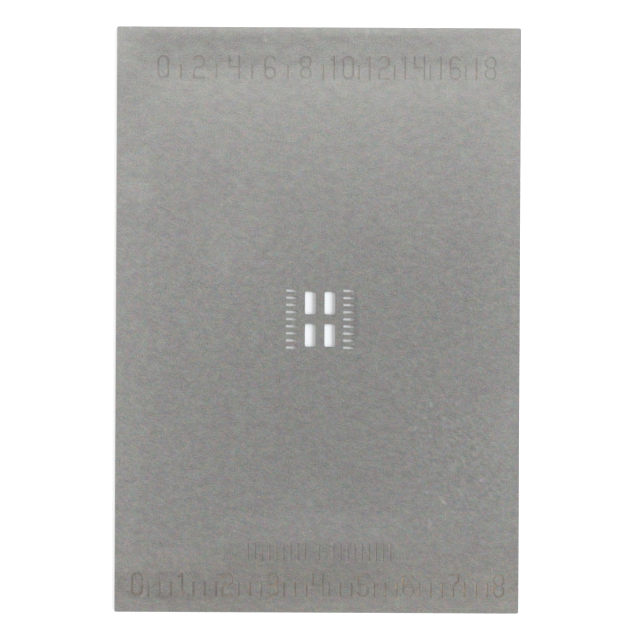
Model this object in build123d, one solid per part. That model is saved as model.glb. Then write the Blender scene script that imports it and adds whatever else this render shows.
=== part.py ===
from build123d import *
import math
import os

# Solder paste stencil for one small leadless chip package, laser cut from stainless steel sheet.
# All sizes are in millimetres. The origin is the middle of the underside, which lies on the board.
# +X runs across the sheet, +Y along it, and +Z out of the face that the squeegee wipes.

# Sheet, four thousandths of an inch thick
sheet_width = 22.70
sheet_length = 32.90
sheet_thickness = 0.1016
sheet_corner_radius = 0.10

# Aperture pattern, a little off the middle of the sheet, with walls that open towards the board.
# roundest_corner is the largest corner radius, as a share of an opening's narrower side.
pattern_offset_x = 0.13
pattern_offset_y = 0.05
wall_taper = 0.007
roundest_corner = 0.45

# Lead apertures, in one column on each side of the package
lead_columns = 2
leads_per_side = 9
lead_pitch = 0.40
lead_column_spacing = 3.22
lead_aperture_length = 0.64
lead_aperture_width = 0.14
lead_corner_radius = 0.05

# Windows that split the thermal pad, with steel webs between them
window_columns = 2
window_rows = 2
window_width = 0.62
window_length = 1.29
window_web_across = 0.48
window_web_along = 0.53
window_corner_radius = 0.10

# Strokes that the laser engraves in the wiped face
stroke_width = 0.10
stroke_depth = 0.02

# Digits, measured between the middles of their strokes, and the ticks beside them
digit_width = 0.55
digit_height = 1.20
digit_corner = 0.16
digit_advance = 0.80
tick_height = 0.70

# Millimetre scale along the top edge
metric_numbers = 10
metric_units_per_number = 2
metric_number_spacing = 2.00
metric_ticks_per_number = 1
metric_row_from_edge = 2.27
metric_row_offset_x = 0.22

# Scale in tenths of an inch along the bottom edge
inch_numbers = 9
inch_units_per_number = 1
inch_number_spacing = 2.54
inch_ticks_per_number = 3
inch_row_from_edge = 1.55
inch_row_offset_x = 0.05

# Comb above it, which repeats the lead pitch on both sides of the pattern's centre line
comb_tooth_height = 0.90
comb_first_tooth = 0.80
comb_row_from_edge = 3.41
cross_arm = 0.40


def sheet_blank():
    """Flat sheet with the slightly rounded corners that its outline cut leaves."""
    outline = RectangleRounded(sheet_width, sheet_length, sheet_corner_radius)
    return extrude(outline, sheet_thickness)


def tapered_opening(width, length, corner_radius):
    """Solid of one aperture, wider on the board side so that the paste lets go of its walls."""
    radius = min(corner_radius, roundest_corner * min(width, length))
    board_side = RectangleRounded(width + 2 * wall_taper, length + 2 * wall_taper, radius + wall_taper)
    wiped_side = RectangleRounded(width, length, radius)
    return loft([board_side, Pos(0, 0, sheet_thickness) * wiped_side], ruled=True)


def lead_apertures():
    """Both columns of lead apertures, about the pattern's middle."""
    aperture = tapered_opening(lead_aperture_length, lead_aperture_width, lead_corner_radius)
    places = GridLocations(lead_column_spacing, lead_pitch, lead_columns, leads_per_side)
    return [place * aperture for place in places]


def thermal_windows():
    """Windows over the thermal pad, about the pattern's middle."""
    window = tapered_opening(window_width, window_length, window_corner_radius)
    spacing_x = window_width + window_web_across
    spacing_y = window_length + window_web_along
    places = GridLocations(spacing_x, spacing_y, window_columns, window_rows)
    return [place * window for place in places]


def aperture_cuts():
    """Everything that is cut right through the sheet, in its place."""
    pattern_place = Pos(pattern_offset_x, pattern_offset_y)
    return [pattern_place * cut for cut in lead_apertures() + thermal_windows()]


def engraved_line(start, end):
    """Straight engraved line. Its ends are half an octagon, so lines meet cleanly at 45 degrees."""
    run = Vector(*end) - Vector(*start)
    middle = (Vector(*start) + Vector(*end)) * 0.5
    angle = math.degrees(math.atan2(run.Y, run.X))
    corner_cut = stroke_width / (2 + math.sqrt(2))
    bar = Rectangle(run.length + stroke_width, stroke_width)
    line = chamfer(bar.vertices(), corner_cut)
    return Pos(middle.X, middle.Y) * Rot(0, 0, angle) * line


def digit_paths(digit):
    """Middle lines of one digit's strokes, from its lower left corner, all at 45 or 90 degrees."""
    w = digit_width
    h = digit_height
    c = digit_corner
    waist = digit_height / 2
    top = [(0, h - c), (c, h), (w - c, h), (w, h - c)]
    foot = [(w, c), (w - c, 0), (c, 0), (0, c)]
    upper_bowl = top + [(w, waist + c), (w - c, waist)]
    lower_bowl = [(w - c, waist), (w, waist - c)] + foot
    upper_ring = upper_bowl + [(c, waist), (0, waist + c)] + top[:1]
    lower_ring = lower_bowl + [(0, waist - c), (c, waist), (w - c, waist)]
    paths = {
        "0": [top + foot + top[:1]],
        "1": [[(w / 2 - c, h - c), (w / 2, h), (w / 2, 0)]],
        "2": [upper_bowl + [(c, waist), (0, waist - c), (0, 0), (w, 0)]],
        "3": [upper_bowl + [(c, waist)], lower_bowl],
        "4": [[(0, h), (0, waist), (w, waist)], [(w, h), (w, 0)]],
        "5": [[(w, h), (0, h), (0, waist)] + lower_bowl],
        "6": [top[::-1] + [(0, waist - c)], lower_ring],
        "7": [[(0, h), (w, h), (w, waist + w / 2), (w / 2, waist), (w / 2, 0)]],
        "8": [upper_ring, lower_ring],
        "9": [upper_ring, [(w, waist + c)] + foot],
    }
    return paths[digit]


def digit_sketch(digit):
    """One engraved digit, about its own middle."""
    lines = []
    for path in digit_paths(digit):
        lines += [engraved_line(start, end) for start, end in zip(path, path[1:])]
    return Pos(-digit_width / 2, -digit_height / 2) * (Sketch() + lines)


def number_sketches(number):
    """Digits of one number side by side, about the number's middle."""
    digits = str(number)
    first_x = -digit_advance * (len(digits) - 1) / 2
    places = [Pos(first_x + digit_advance * index, 0) for index in range(len(digits))]
    return [place * digit_sketch(digit) for place, digit in zip(places, digits)]


def scale_sketches(numbers, units_per_number, number_spacing, ticks_per_number):
    """Row of numbers with plain ticks evenly after each but the last, about the row's middle."""
    foot = -digit_height / 2
    tick = engraved_line((0, foot), (0, foot + tick_height))
    tick_spacing = number_spacing / (ticks_per_number + 1)
    first_x = -number_spacing * (numbers - 1) / 2
    sketches = []
    for index in range(numbers):
        number_place = Pos(first_x + number_spacing * index, 0)
        sketches += [number_place * digit for digit in number_sketches(index * units_per_number)]
    for index in range(numbers - 1):
        for step in range(1, ticks_per_number + 1):
            tick_x = first_x + number_spacing * index + tick_spacing * step
            sketches.append(Pos(tick_x, 0) * tick)
    return sketches


def comb_sketches():
    """Comb with a tooth for each lead on both sides of a cross."""
    half_height = comb_tooth_height / 2
    tooth = engraved_line((0, -half_height), (0, half_height))
    across = engraved_line((-cross_arm, 0), (cross_arm, 0))
    along = engraved_line((0, -cross_arm), (0, cross_arm))
    sketches = [across + along]
    for index in range(leads_per_side):
        tooth_x = comb_first_tooth + lead_pitch * index
        sketches += [Pos(-tooth_x, 0) * tooth, Pos(tooth_x, 0) * tooth]
    return sketches


def engraving_cuts():
    """Shallow grooves of the two scales and the comb, down from the wiped face."""
    metric_place = Pos(metric_row_offset_x, sheet_length / 2 - metric_row_from_edge)
    comb_place = Pos(pattern_offset_x, comb_row_from_edge - sheet_length / 2)
    inch_place = Pos(inch_row_offset_x, inch_row_from_edge - sheet_length / 2)
    metric = scale_sketches(
        metric_numbers, metric_units_per_number, metric_number_spacing, metric_ticks_per_number
    )
    inch = scale_sketches(
        inch_numbers, inch_units_per_number, inch_number_spacing, inch_ticks_per_number
    )
    sketches = [metric_place * sketch for sketch in metric]
    sketches += [comb_place * sketch for sketch in comb_sketches()]
    sketches += [inch_place * sketch for sketch in inch]
    groove_floor = Pos(0, 0, sheet_thickness - stroke_depth)
    return [extrude(groove_floor * sketch, stroke_depth) for sketch in sketches]


stencil_sheet = sheet_blank() - aperture_cuts() - engraving_cuts()

os.makedirs("parts", exist_ok=True)
export_step(stencil_sheet, "parts/stencil_sheet.step")
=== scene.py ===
import math

import bmesh
import bpy
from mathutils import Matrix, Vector


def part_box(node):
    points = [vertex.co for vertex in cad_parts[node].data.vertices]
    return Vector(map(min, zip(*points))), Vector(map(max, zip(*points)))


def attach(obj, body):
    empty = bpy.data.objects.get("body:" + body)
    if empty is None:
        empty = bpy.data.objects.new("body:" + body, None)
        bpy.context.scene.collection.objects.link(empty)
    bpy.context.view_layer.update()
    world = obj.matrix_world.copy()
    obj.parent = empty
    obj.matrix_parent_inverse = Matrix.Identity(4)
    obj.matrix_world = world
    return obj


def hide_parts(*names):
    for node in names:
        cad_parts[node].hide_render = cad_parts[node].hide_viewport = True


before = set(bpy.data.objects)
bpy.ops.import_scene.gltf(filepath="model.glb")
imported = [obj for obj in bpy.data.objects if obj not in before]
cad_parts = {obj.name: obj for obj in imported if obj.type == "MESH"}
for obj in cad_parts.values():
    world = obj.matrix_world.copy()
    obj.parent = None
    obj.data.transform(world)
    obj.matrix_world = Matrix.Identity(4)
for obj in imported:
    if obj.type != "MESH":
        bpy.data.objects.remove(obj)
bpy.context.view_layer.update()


# Stencil sheet
# One flat piece of cold-rolled stainless steel, a tenth of a millimetre thick and a little dull.
# A laser cuts its outline and apertures. With less power it engraves the scales, which leaves
# shallow grooves with a straw to brown heat tint and a thin dark haze about each row.

sheet_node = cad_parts["stencil_sheet"]
sheet_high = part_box("stencil_sheet")[1]

MM_PER_METRE = 1000.0
SHEET_TOP_MM = sheet_high.z * MM_PER_METRE
JOIN_DISTANCE_MM = 0.0002
HEIGHT_SLACK_MM = 0.001
FLAT_ANGLE = math.radians(1.0)
LEVEL_NORMAL_Z = 0.99
TINT_REACH_MM = 0.035
EDGE_BREAK_MM = 0.004
GROOVE_ROUNDING_MM = 0.007


def is_level(face):
    """True for a face that lies flat: the two faces of the sheet and the groove floors."""
    return abs(face.normal.z) > LEVEL_NORMAL_Z


def level_height(edge):
    """Height of the level face beside an edge that a level face and a wall share, or None."""
    level_faces = [face for face in edge.link_faces if is_level(face)]
    if len(edge.link_faces) != 2 or len(level_faces) != 1:
        return None
    return level_faces[0].calc_center_median().z


def is_groove_height(height):
    """True for a height between the two faces of the sheet, where only groove floors lie."""
    return HEIGHT_SLACK_MM < height < SHEET_TOP_MM - HEIGHT_SLACK_MM


def mark_rims(work):
    """Marks the corners of the grooves in one layer and those of the cuts in another."""
    engraved = work.verts.layers.float.new("engraved")
    cut = work.verts.layers.float.new("cut")
    for vert in work.verts:
        heights = [face.calc_center_median().z for face in vert.link_faces if is_level(face)]
        heights += [edge.other_vert(vert).co.z for edge in vert.link_edges]
        vert[engraved] = 1.0 if any(is_groove_height(height) for height in heights) else 0.0
        vert[cut] = 1.0 - vert[engraved]


def ring_the_cuts(work, height, facing):
    """Adds a narrow ring of faces round every cut in one face of the sheet, for its heat tint."""
    level_faces = [
        face
        for face in work.faces
        if face.normal.z * facing > LEVEL_NORMAL_Z
        and abs(face.calc_center_median().z - height) < HEIGHT_SLACK_MM
    ]
    bmesh.ops.inset_region(
        work,
        faces=level_faces,
        thickness=TINT_REACH_MM,
        depth=0.0,
        use_boundary=True,
        use_even_offset=True,
    )
    for vert in {vert for face in level_faces for vert in face.verts}:
        vert[work.verts.layers.float["engraved"]] = 0.0
        vert[work.verts.layers.float["cut"]] = 0.0


def mark_slopes(work):
    """Marks the walls and rounded corners, which touch no level face."""
    steep = work.verts.layers.float.new("steep")
    for vert in work.verts:
        vert[steep] = 0.0 if any(is_level(face) for face in vert.link_faces) else 1.0


def wall_edges(work, in_groove):
    """Edges that level faces share with walls: those of the groove floors, or all the others."""
    heights = [(edge, level_height(edge)) for edge in work.edges]
    return [
        edge
        for edge, height in heights
        if height is not None and is_groove_height(height) == in_groove
    ]


def break_edges(work, edges, width):
    """Rounds edges over a width in millimetres."""
    bmesh.ops.bevel(
        work,
        geom=edges,
        offset=width,
        offset_type="OFFSET",
        affect="EDGES",
        segments=2,
        profile=0.5,
        material=-1,
        clamp_overlap=False,
    )


def make_sheet_mesh():
    """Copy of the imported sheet, joined up, with its rims broken and its grooves rounded."""
    work = bmesh.new()
    work.from_mesh(sheet_node.data)
    bmesh.ops.scale(work, vec=(MM_PER_METRE,) * 3, verts=work.verts)
    bmesh.ops.remove_doubles(work, verts=work.verts, dist=JOIN_DISTANCE_MM)
    bmesh.ops.dissolve_limit(work, angle_limit=FLAT_ANGLE, verts=work.verts, edges=work.edges)
    mark_rims(work)
    ring_the_cuts(work, SHEET_TOP_MM, 1)
    ring_the_cuts(work, 0.0, -1)
    break_edges(work, wall_edges(work, in_groove=True), GROOVE_ROUNDING_MM)
    break_edges(work, wall_edges(work, in_groove=False), EDGE_BREAK_MM)
    mark_slopes(work)
    bmesh.ops.triangulate(work, faces=work.faces)
    bmesh.ops.scale(work, vec=(1 / MM_PER_METRE,) * 3, verts=work.verts)
    mesh = bpy.data.meshes.new("stencil_sheet_finished")
    work.to_mesh(mesh)
    work.free()
    return mesh


# Sockets of a Mix node that share one name, by their number
MIX_SHARE = 0
MIX_FIRST_COLOUR = 6
MIX_OTHER_COLOUR = 7
MIXED_COLOUR = 2


class Signal:
    """An output socket of a material. An expression on signals adds the Math nodes for it."""

    def __init__(self, tree, socket=None):
        self.tree = tree
        self.socket = socket

    def node(self, kind, settings=None, inputs=None, output=0):
        """Adds a node, with its settings first and then its sockets, and gives one output of it."""
        made = self.tree.nodes.new(kind)
        for name, value in (settings or {}).items():
            setattr(made, name, value)
        for name, value in (inputs or {}).items():
            if isinstance(value, Signal):
                self.tree.links.new(value.socket, made.inputs[name])
            else:
                made.inputs[name].default_value = value
        return Signal(self.tree, made.outputs[output] if made.outputs else None)

    def math(self, operation, *others):
        """A Math node on this signal and others."""
        inputs = dict(enumerate((self, *others)))
        return self.node("ShaderNodeMath", {"operation": operation}, inputs)

    def vector(self, operation, *others):
        """A Vector Math node on this colour or vector and others."""
        inputs = dict(enumerate((self, *others)))
        return self.node("ShaderNodeVectorMath", {"operation": operation}, inputs)

    def times(self, scale):
        """A colour or vector made larger by a number or a signal."""
        inputs = {0: self, "Scale": scale}
        return self.node("ShaderNodeVectorMath", {"operation": "SCALE"}, inputs)

    def axis(self, index):
        """One of the three coordinates of a vector."""
        return self.node("ShaderNodeSeparateXYZ", inputs={0: self}, output=index)

    def rise(self, low, high):
        """Smooth step from 0 at one value to 1 at the other, which may be the lower one."""
        return self.node(
            "ShaderNodeMapRange",
            {"interpolation_type": "SMOOTHSTEP"},
            {"Value": self, "From Min": low, "From Max": high},
        )

    def mixed(self, colour, share):
        """This colour with a share of another one in it."""
        inputs = {MIX_SHARE: share, MIX_FIRST_COLOUR: self, MIX_OTHER_COLOUR: colour}
        return self.node("ShaderNodeMix", {"data_type": "RGBA"}, inputs, MIXED_COLOUR)

    def __add__(self, other):
        return self.math("ADD", other)

    __radd__ = __add__

    def __sub__(self, other):
        return self.math("SUBTRACT", other)

    def __rsub__(self, other):
        return self.node("ShaderNodeMath", {"operation": "SUBTRACT"}, {0: other, 1: self})

    def __mul__(self, other):
        return self.math("MULTIPLY", other)

    __rmul__ = __mul__


def new_material(name):
    """An empty material with its output node, and a signal to start its expressions from."""
    material = bpy.data.materials.new(name)
    material.use_nodes = True
    material.node_tree.nodes.clear()
    return material, Signal(material.node_tree)


def plain_colour(start, colour):
    """One colour as a signal, for others to be mixed into."""
    plain = start.node("ShaderNodeRGB")
    plain.socket.default_value = colour
    return plain


def vertex_mark(start, name):
    """One of the marks from 0 to 1 that the mesh carries at its corners."""
    return start.node("ShaderNodeAttribute", {"attribute_name": name}, output="Fac")


ANY_DEPTH_MM = 1000.0
CLOUD_ROUGHNESS = 0.6


def within(place, size, centre=(0.0, 0.0), turn=0.0):
    """The place as measured from a centre, along turned axes, in sizes along and across them."""
    return place.node(
        "ShaderNodeMapping",
        {"vector_type": "TEXTURE"},
        {
            "Vector": place,
            "Location": (centre[0], centre[1], 0.0),
            "Rotation": (0.0, 0.0, math.radians(turn)),
            "Scale": (size[0], size[1], ANY_DEPTH_MM),
        },
    )


def cloud(place, length, width, detail=0.0, turn=0.0, colour=False):
    """Soft random pattern about zero, with patches of one size in millimetres, or its colours."""
    inputs = {
        "Vector": within(place, (length, width), turn=turn),
        "Scale": 1.0,
        "Detail": detail,
        "Roughness": CLOUD_ROUGHNESS,
    }
    if colour:
        return place.node("ShaderNodeTexNoise", inputs=inputs, output="Color")
    return place.node("ShaderNodeTexNoise", inputs=inputs) - 0.5


def band(value, start, end, soft):
    """Mask that is 1 between two values and fades over a soft width outside them."""
    return value.rise(start - soft, start) * value.rise(end + soft, end)


def spot(place, centre, radius, turn=0.0, core=0.2):
    """Soft oval mask about a centre, full within its core, with a radius along and one across."""
    inside = within(place, radius, centre, turn)
    settings = {"operation": "LENGTH"}
    distance = inside.node("ShaderNodeVectorMath", settings, {0: inside}, output="Value")
    return distance.rise(1.0, core)


# Places on the sheet are in millimetres from its middle. Strengths are shares of its brightness.
STEEL_COLOUR = (0.4725, 0.4662, 0.4502, 1.0)
TOP_STEEL_COLOUR = (0.4673, 0.4637, 0.4424, 1.0)
FOOT_STEEL_COLOUR = (0.4815, 0.4637, 0.4371, 1.0)
DULL_TINT = (0.25, 0.244, 0.233, 1.0)
BROWN_TINT = (0.33, 0.285, 0.238, 1.0)
GOLD_TINT = (0.56, 0.42, 0.275, 1.0)
CUT_WALL_COLOUR = (0.12, 0.11, 0.10, 1.0)
SOOT_COLOUR = (0.16, 0.14, 0.12, 1.0)
WHITE = (1.0, 1.0, 1.0, 1.0)
FINE_TINT_RANGE = (0.33, 0.20, 0.255)
FINE_TINT_LEAST = (0.835, 0.90, 0.8725)
WIDE_TINT_RANGE = (0.10, 0.08, 0.09)
WIDE_TINT_LEAST = (0.95, 0.96, 0.955)
CUT_WALL_SHARE = 0.9
GRAIN_CONTRAST = 0.61
STEEL_ROUGHNESS = 0.35
GRAIN_HEIGHT = 1.5e-6
SCUFF_HALF_WIDTH_MM = 0.14


def heat_tint(place, x, y):
    """Colours that the laser's heat leaves in the grooves: grey, brown and, in places, gold."""
    golden_end = band(y, -15.4, -14.3, 0.3) * x.rise(2.0, 8.0) * 0.10
    comb = band(y, -13.6, -12.4, 0.2) * 0.06
    brown_top = y.rise(10.0, 12.0) * 0.08
    heat = cloud(place, 0.9, 0.9, detail=2.0) + 0.5 + golden_end + brown_top - comb
    dull = plain_colour(place, DULL_TINT)
    return dull.mixed(BROWN_TINT, heat.rise(0.28, 0.50)).mixed(GOLD_TINT, heat.rise(0.50, 0.72))


def rolled_grain(place, y):
    """Light and dark of the rolled surface: fine grain, short streaks and soft mottling."""
    grain = cloud(place, 0.078, 0.080)
    streaks = cloud(place, 0.29, 0.18, turn=-30.0)
    mottle = cloud(place, 0.65, 0.41, turn=-8.0)
    drift = cloud(place, 2.9, 2.9, detail=1.0)
    lines = cloud(place, 2.5, 0.20)
    streaky = y.rise(11.0, 4.0) * 0.12 + 0.08
    coarse = streaks * streaky + mottle * 0.17 + drift * 0.07 + lines * 0.03
    return grain, coarse


def painted_bend_shading(x, y):
    """Painted light and shade: faint bands near the sheet's ends and its sides, where the thin
    sheet is no longer quite flat and catches the light differently.
    """
    bright = band(y, 12.5, 13.7, 0.8) * (0.018 - x.rise(-8.0, -11.0) * 0.09)
    bright = bright + band(y, -12.3, -11.1, 0.5) * band(x, -4.5, 4.0, 1.5) * 0.06
    dark = band(y, 14.6, 15.9, 0.8) * band(x, -9.0, 8.0, 3.0) * (x.rise(0.0, -5.0) * 0.03 + 0.13)
    edge = band(y, 15.3, 15.8, 0.4) * 0.05
    edge = edge + y.rise(15.1, 15.8) * 0.04 - y.rise(15.8, 16.2) * 0.03
    dark = dark + edge * band(x, -9.0, 6.0, 2.0)
    left = x.rise(-8.4, -11.6) * y.rise(11.0, 7.0) * 0.055
    right = x.rise(8.4, 11.6) * (0.06 - y.rise(11.0, 13.5) * 0.14)
    foot = y.rise(-15.0, -16.2) * x.rise(-4.0, 2.0) * 0.09
    middle = band(y, -1.2, 4.5, 1.0) * (x.rise(2.0, -2.0) * 0.038 - 0.020)
    return bright - dark + left + right + foot + middle


def engraving_haze_and_painted_shadow(place, x, y):
    """Thin dark oxide that the engraving laser leaves about its rows, thicker in places, a darker
    patch left of the lead slots, and painted shadow at the outer ends of the right column of lead
    slots.
    """
    patchy = (cloud(place, 1.1, 1.1, detail=2.0) + 0.5).rise(0.30, 0.62)
    top = band(x, -10.0, 7.5, 1.5) * band(y, 13.6, 14.9, 0.4)
    middle = band(x, -4.2, 3.6, 1.2) * band(y, -15.6, -12.9, 0.4)
    bottom = band(x, -11.6, -5.2, 1.0) * band(y, -15.6, -14.3, 0.3)
    corner = spot(place, (-8.5, -15.6), (3.2, 0.7)) * 0.06
    left_leads = spot(place, (-2.3, -0.3), (0.5, 0.8)) * 0.05
    # Painted shadow on the steel about the outer ends of the right column of lead slots, for the
    # deep shade inside those ends.
    painted_shadow_right_leads = spot(place, (2.12, 0.1), (0.22, 2.0), core=0.5) * 0.09
    rows = (top * 0.05 + middle * 0.06 + bottom * 0.10) * (patchy * 0.7 + 0.3)
    return rows + corner + left_leads + painted_shadow_right_leads


def smears(place):
    """Pale patches where the sheet was wiped or held, and short marks beside the apertures."""
    # Centre, radii, turn in degrees, core and strength
    patches = [
        ((-10.3, 8.85), (1.3, 0.55), -12.0, 0.5, 0.06),
        ((-10.2, 7.25), (1.35, 0.75), -14.0, 0.5, 0.09),
        ((-9.8, -1.9), (0.3, 0.8), 0.0, 0.2, 0.07),
        ((-8.75, -1.2), (0.25, 0.7), 8.0, 0.2, 0.07),
        ((-3.5, -1.1), (0.3, 0.6), 0.0, 0.2, 0.08),
        ((-5.7, 3.0), (1.8, 1.3), -8.0, 0.2, 0.06),
        ((-4.5, 5.0), (2.6, 3.0), 0.0, 0.2, 0.055),
        ((6.2, -12.0), (6.0, 5.0), 0.0, 0.2, 0.05),
        ((10.4, -6.3), (2.4, 3.2), 0.0, 0.2, 0.05),
        ((-0.6, -10.8), (3.0, 2.6), 0.0, 0.2, 0.045),
        ((-8.0, -13.3), (2.0, 1.0), 0.0, 0.2, 0.06),
        ((9.6, -14.6), (1.6, 0.9), 0.0, 0.2, 0.05),
    ]
    return sum(
        spot(place, centre, radius, turn, core) * strength
        for centre, radius, turn, core, strength in patches
    )


def rubbed_spots(place):
    """Small burnished places at both ends, where the sheet was held or rubbed."""
    # Centre, radii and strength
    spots = [
        ((2.69, 16.2), (0.2, 0.4), 0.16),
        ((-3.05, 15.75), (0.2, 0.25), 0.15),
        ((4.55, -15.86), (0.2, 0.6), 0.12),
    ]
    return sum(spot(place, centre, radius) * strength for centre, radius, strength in spots)


def scuffs(place):
    """Short pale scratches low on the right, most of them down to the right."""
    # Centre, half length, turn in degrees and strength
    scratches = [
        ((8.24, -7.89), 0.62, -79.0, 0.14),
        ((7.61, -8.31), 0.55, -52.0, 0.14),
        ((7.00, -10.05), 0.50, -48.0, 0.23),
        ((6.35, -9.65), 0.40, 5.0, 0.11),
        ((8.09, -9.71), 0.60, -41.0, 0.11),
        ((8.81, -6.68), 0.38, -77.0, 0.14),
        ((7.26, -5.57), 0.50, -27.0, 0.11),
        ((6.35, -11.38), 0.42, -90.0, 0.15),
        ((6.75, -11.05), 0.35, 18.0, 0.12),
        ((8.03, -13.76), 0.80, -71.0, 0.08),
        ((9.25, -8.98), 0.20, -20.0, 0.22),
        ((6.39, -4.77), 0.25, -80.0, 0.19),
        ((6.03, -5.45), 0.15, 0.0, 0.22),
        ((5.35, -6.10), 0.38, 15.0, 0.12),
        ((8.04, -11.15), 0.30, -40.0, 0.14),
        ((9.30, -12.45), 0.35, -25.0, 0.11),
    ]
    pale = sum(
        spot(place, centre, (half_length, SCUFF_HALF_WIDTH_MM), turn, core=0.4) * strength
        for centre, half_length, turn, strength in scratches
    )
    worn = spot(place, (8.2, -7.6), (4.0, 5.6), turn=20.0)
    short = cloud(place, 0.38, 0.21, turn=-42.0)
    return pale + worn * (short * 0.34 + 0.02)


def make_steel():
    """Dull rolled steel with fine grain, handling marks, heat tint, laser-cut walls, and painted
    light and shade.
    """
    steel, start = new_material("cold_rolled_stainless_steel")
    place = start.node("ShaderNodeTexCoord", output="Object").times(MM_PER_METRE)
    x = place.axis(0)
    y = place.axis(1)

    calm_end = y.rise(1.0, 6.0) * 0.4 + y.rise(10.5, 13.0) * 0.6
    grain, coarse = rolled_grain(place, y)
    contrast = GRAIN_CONTRAST - calm_end * 0.13 - y.rise(14.4, 15.4) * 0.07
    scratched = scuffs(place)
    rubbed = rubbed_spots(place)
    level = 1.0 + grain * contrast + coarse + smears(place) + rubbed + scratched
    # Painted light and shade of the bent sheet, then the oxide haze and the painted shadow at the
    # slot ends.
    level = level + painted_bend_shading(x, y) - engraving_haze_and_painted_shadow(place, x, y)

    fine_tints = cloud(place, 0.31, 0.21, colour=True)
    fine_tints = fine_tints.vector("MULTIPLY_ADD", FINE_TINT_RANGE, FINE_TINT_LEAST)
    fine_tints = fine_tints.mixed(WHITE, calm_end * 0.36)
    wide_tints = cloud(place, 0.5, 0.5, colour=True)
    wide_tints = wide_tints.vector("MULTIPLY_ADD", WIDE_TINT_RANGE, WIDE_TINT_LEAST)
    colour = plain_colour(start, STEEL_COLOUR)
    colour = colour.mixed(TOP_STEEL_COLOUR, y.rise(9.0, 13.0))
    colour = colour.mixed(FOOT_STEEL_COLOUR, y.rise(-11.5, -14.5))
    colour = colour.vector("MULTIPLY", fine_tints).vector("MULTIPLY", wide_tints).times(level)

    engraved = vertex_mark(start, "engraved")
    steep = vertex_mark(start, "steep")
    top_scale = y.rise(10.0, 12.0)
    comb = band(y, -13.7, -12.2, 0.2)
    patchy = (cloud(place, 1.25, 1.25, detail=2.0) + 0.5).rise(0.28, 0.62)
    burnt = (patchy * 0.42 + 0.24) * (1.0 - top_scale * 0.70 - comb * 0.42)
    colour = colour.mixed(heat_tint(place, x, y), engraved * burnt)
    colour = colour.mixed(SOOT_COLOUR, engraved * steep * (0.5 - top_scale * 0.40))
    wall = vertex_mark(start, "cut").rise(0.8, 1.0) * steep
    colour = colour.mixed(CUT_WALL_COLOUR, wall * CUT_WALL_SHARE)

    roughness = STEEL_ROUGHNESS + grain * 0.1 + engraved * (steep * 0.3 + 0.25)
    roughness = roughness + wall * 0.2 - rubbed * 0.2
    relief = start.node(
        "ShaderNodeBump",
        inputs={"Strength": 1.0, "Distance": GRAIN_HEIGHT, "Height": grain + scratched},
    )
    shader = start.node(
        "ShaderNodeBsdfPrincipled",
        inputs={"Base Color": colour, "Metallic": 1.0, "Roughness": roughness, "Normal": relief},
    )
    start.node("ShaderNodeOutputMaterial", inputs={"Surface": shader})
    return steel


sheet = bpy.data.objects.new("stencil_sheet_finished", make_sheet_mesh())
sheet.data.materials.append(make_steel())
bpy.context.scene.collection.objects.link(sheet)
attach(sheet, "root")
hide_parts("stencil_sheet")


# Floor
# A plain white table under the sheet, which isn't part of the object. It shows through the
# apertures and keeps the sheet's thin shadow, and it glows a little where the camera sees it
# beside the sheet, so that the background is white.

FLOOR_RADIUS = 0.9
FLOOR_SEGMENTS = 96
FLOOR_ROUGHNESS = 0.9
FLOOR_COLOUR = (0.93, 0.93, 0.93, 1.0)
FLOOR_GLOW = 0.42
GLOW_EDGE = 0.00005

work = bmesh.new()
bmesh.ops.create_circle(work, cap_ends=True, radius=FLOOR_RADIUS, segments=FLOOR_SEGMENTS)
floor_mesh = bpy.data.meshes.new("floor")
work.to_mesh(floor_mesh)
work.free()
floor = bpy.data.objects.new("floor", floor_mesh)
bpy.context.scene.collection.objects.link(floor)

floor_white, start = new_material("white_table")
table_place = start.node("ShaderNodeTexCoord", output="Object")
beside = table_place.axis(0).math("ABSOLUTE").rise(sheet_high.x, sheet_high.x + GLOW_EDGE)
beyond = table_place.axis(1).math("ABSOLUTE").rise(sheet_high.y, sheet_high.y + GLOW_EDGE)
clear_of_sheet = beside.math("MAXIMUM", beyond)
to_camera = start.node("ShaderNodeLightPath", output="Is Camera Ray")
to_gloss = start.node("ShaderNodeLightPath", output="Is Glossy Ray")
to_glass = start.node("ShaderNodeLightPath", output="Is Transmission Ray")
seen = to_camera.math("MAXIMUM", to_gloss).math("MAXIMUM", to_glass)
shader = start.node(
    "ShaderNodeBsdfPrincipled",
    inputs={
        "Base Color": FLOOR_COLOUR,
        "Roughness": FLOOR_ROUGHNESS,
        "Specular IOR Level": 0.0,
        "Emission Color": seen * clear_of_sheet * FLOOR_GLOW,
        "Emission Strength": 1.0,
    },
)
start.node("ShaderNodeOutputMaterial", inputs={"Surface": shader})
floor.data.materials.append(floor_white)


# Light
# Three cool panels stand low on the right and throw the apertures' soft shadow. The steel mirrors
# only a part of two of them, so that it doesn't burn out when it is seen at a low angle. A wide
# panel hangs beyond the top edge, and a faint one beyond each other edge. The room gives the rest.


def add_lamp(name, place, size, power, colour=(1.0, 1.0, 1.0), mirrored=True):
    """Soft light of a width and a height that points at the middle of the sheet."""
    data = bpy.data.lights.new(name, "AREA")
    data.color = colour
    data.shape = "RECTANGLE"
    data.size, data.size_y = size
    data.energy = power
    lamp = bpy.data.objects.new(name, data)
    lamp.location = place
    lamp.visible_glossy = mirrored
    lamp.rotation_euler = (-Vector(place)).to_track_quat("-Z", "Y").to_euler()
    bpy.context.scene.collection.objects.link(lamp)


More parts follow.
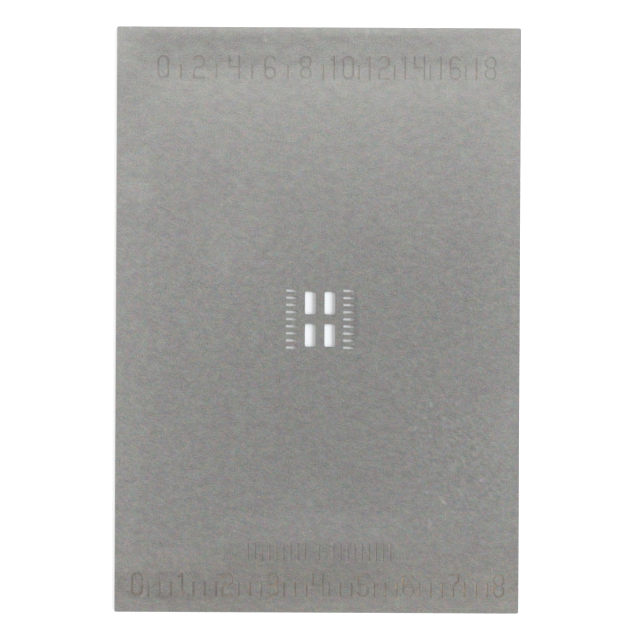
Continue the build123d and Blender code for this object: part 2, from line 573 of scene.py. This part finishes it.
COOL_WHITE = (0.93, 1.0, 1.05)
ROOM_LIGHT = 0.255
LARGE_PANEL = (0.12, 0.12)
SMALL_PANEL = (0.10, 0.10)
WIDE_PANEL = (0.18, 0.12)
MIRRORED_POWER = 0.12
MATT_POWER = 0.28

for side, across in [("upper", 0.127), ("lower", -0.127)]:
    place = (0.251, across, 0.092)
    add_lamp(f"low_panel_{side}_right", place, LARGE_PANEL, MIRRORED_POWER, COOL_WHITE)
    add_lamp(f"matt_panel_{side}_right", place, LARGE_PANEL, MATT_POWER, COOL_WHITE, mirrored=False)
add_lamp("low_panel_right", (0.278, 0.0, 0.101), SMALL_PANEL, 0.60, COOL_WHITE)
add_lamp("panel_beyond_top", (0.0, 0.13, 0.22), WIDE_PANEL, 0.165)
add_lamp("panel_left", (-0.11, -0.02, 0.24), SMALL_PANEL, 0.036)
add_lamp("panel_right", (0.11, -0.02, 0.24), SMALL_PANEL, 0.026)
add_lamp("panel_below", (0.0, -0.12, 0.23), SMALL_PANEL, 0.021)

world = bpy.data.worlds.new("studio")
world.use_nodes = True
bpy.context.scene.world = world
room = world.node_tree.nodes["Background"]
room.inputs["Color"].default_value = WHITE
room.inputs["Strength"].default_value = ROOM_LIGHT
bpy.context.scene.view_settings.view_transform = "Standard"


# Camera
# It looks straight down on the sheet from a little over three sheet lengths, turned a third of
# a degree, as in the photograph.

LENS_MM = 100.0
SENSOR_MM = 36.0
VIEW_WIDTH = 0.03598
VIEW_CENTRE_X = 0.000116
VIEW_CENTRE_Y = 0.0
NEAR_LIMIT = 0.001
TURN = math.radians(0.287)

camera_data = bpy.data.cameras.new("camera")
camera_data.lens = LENS_MM
camera_data.sensor_width = SENSOR_MM
camera_data.clip_start = NEAR_LIMIT
camera = bpy.data.objects.new("camera", camera_data)
distance = VIEW_WIDTH * LENS_MM / SENSOR_MM
camera.location = (VIEW_CENTRE_X, VIEW_CENTRE_Y, distance + sheet_high.z)
camera.rotation_euler = (0.0, 0.0, TURN)
bpy.context.scene.collection.objects.link(camera)
bpy.context.scene.camera = camera
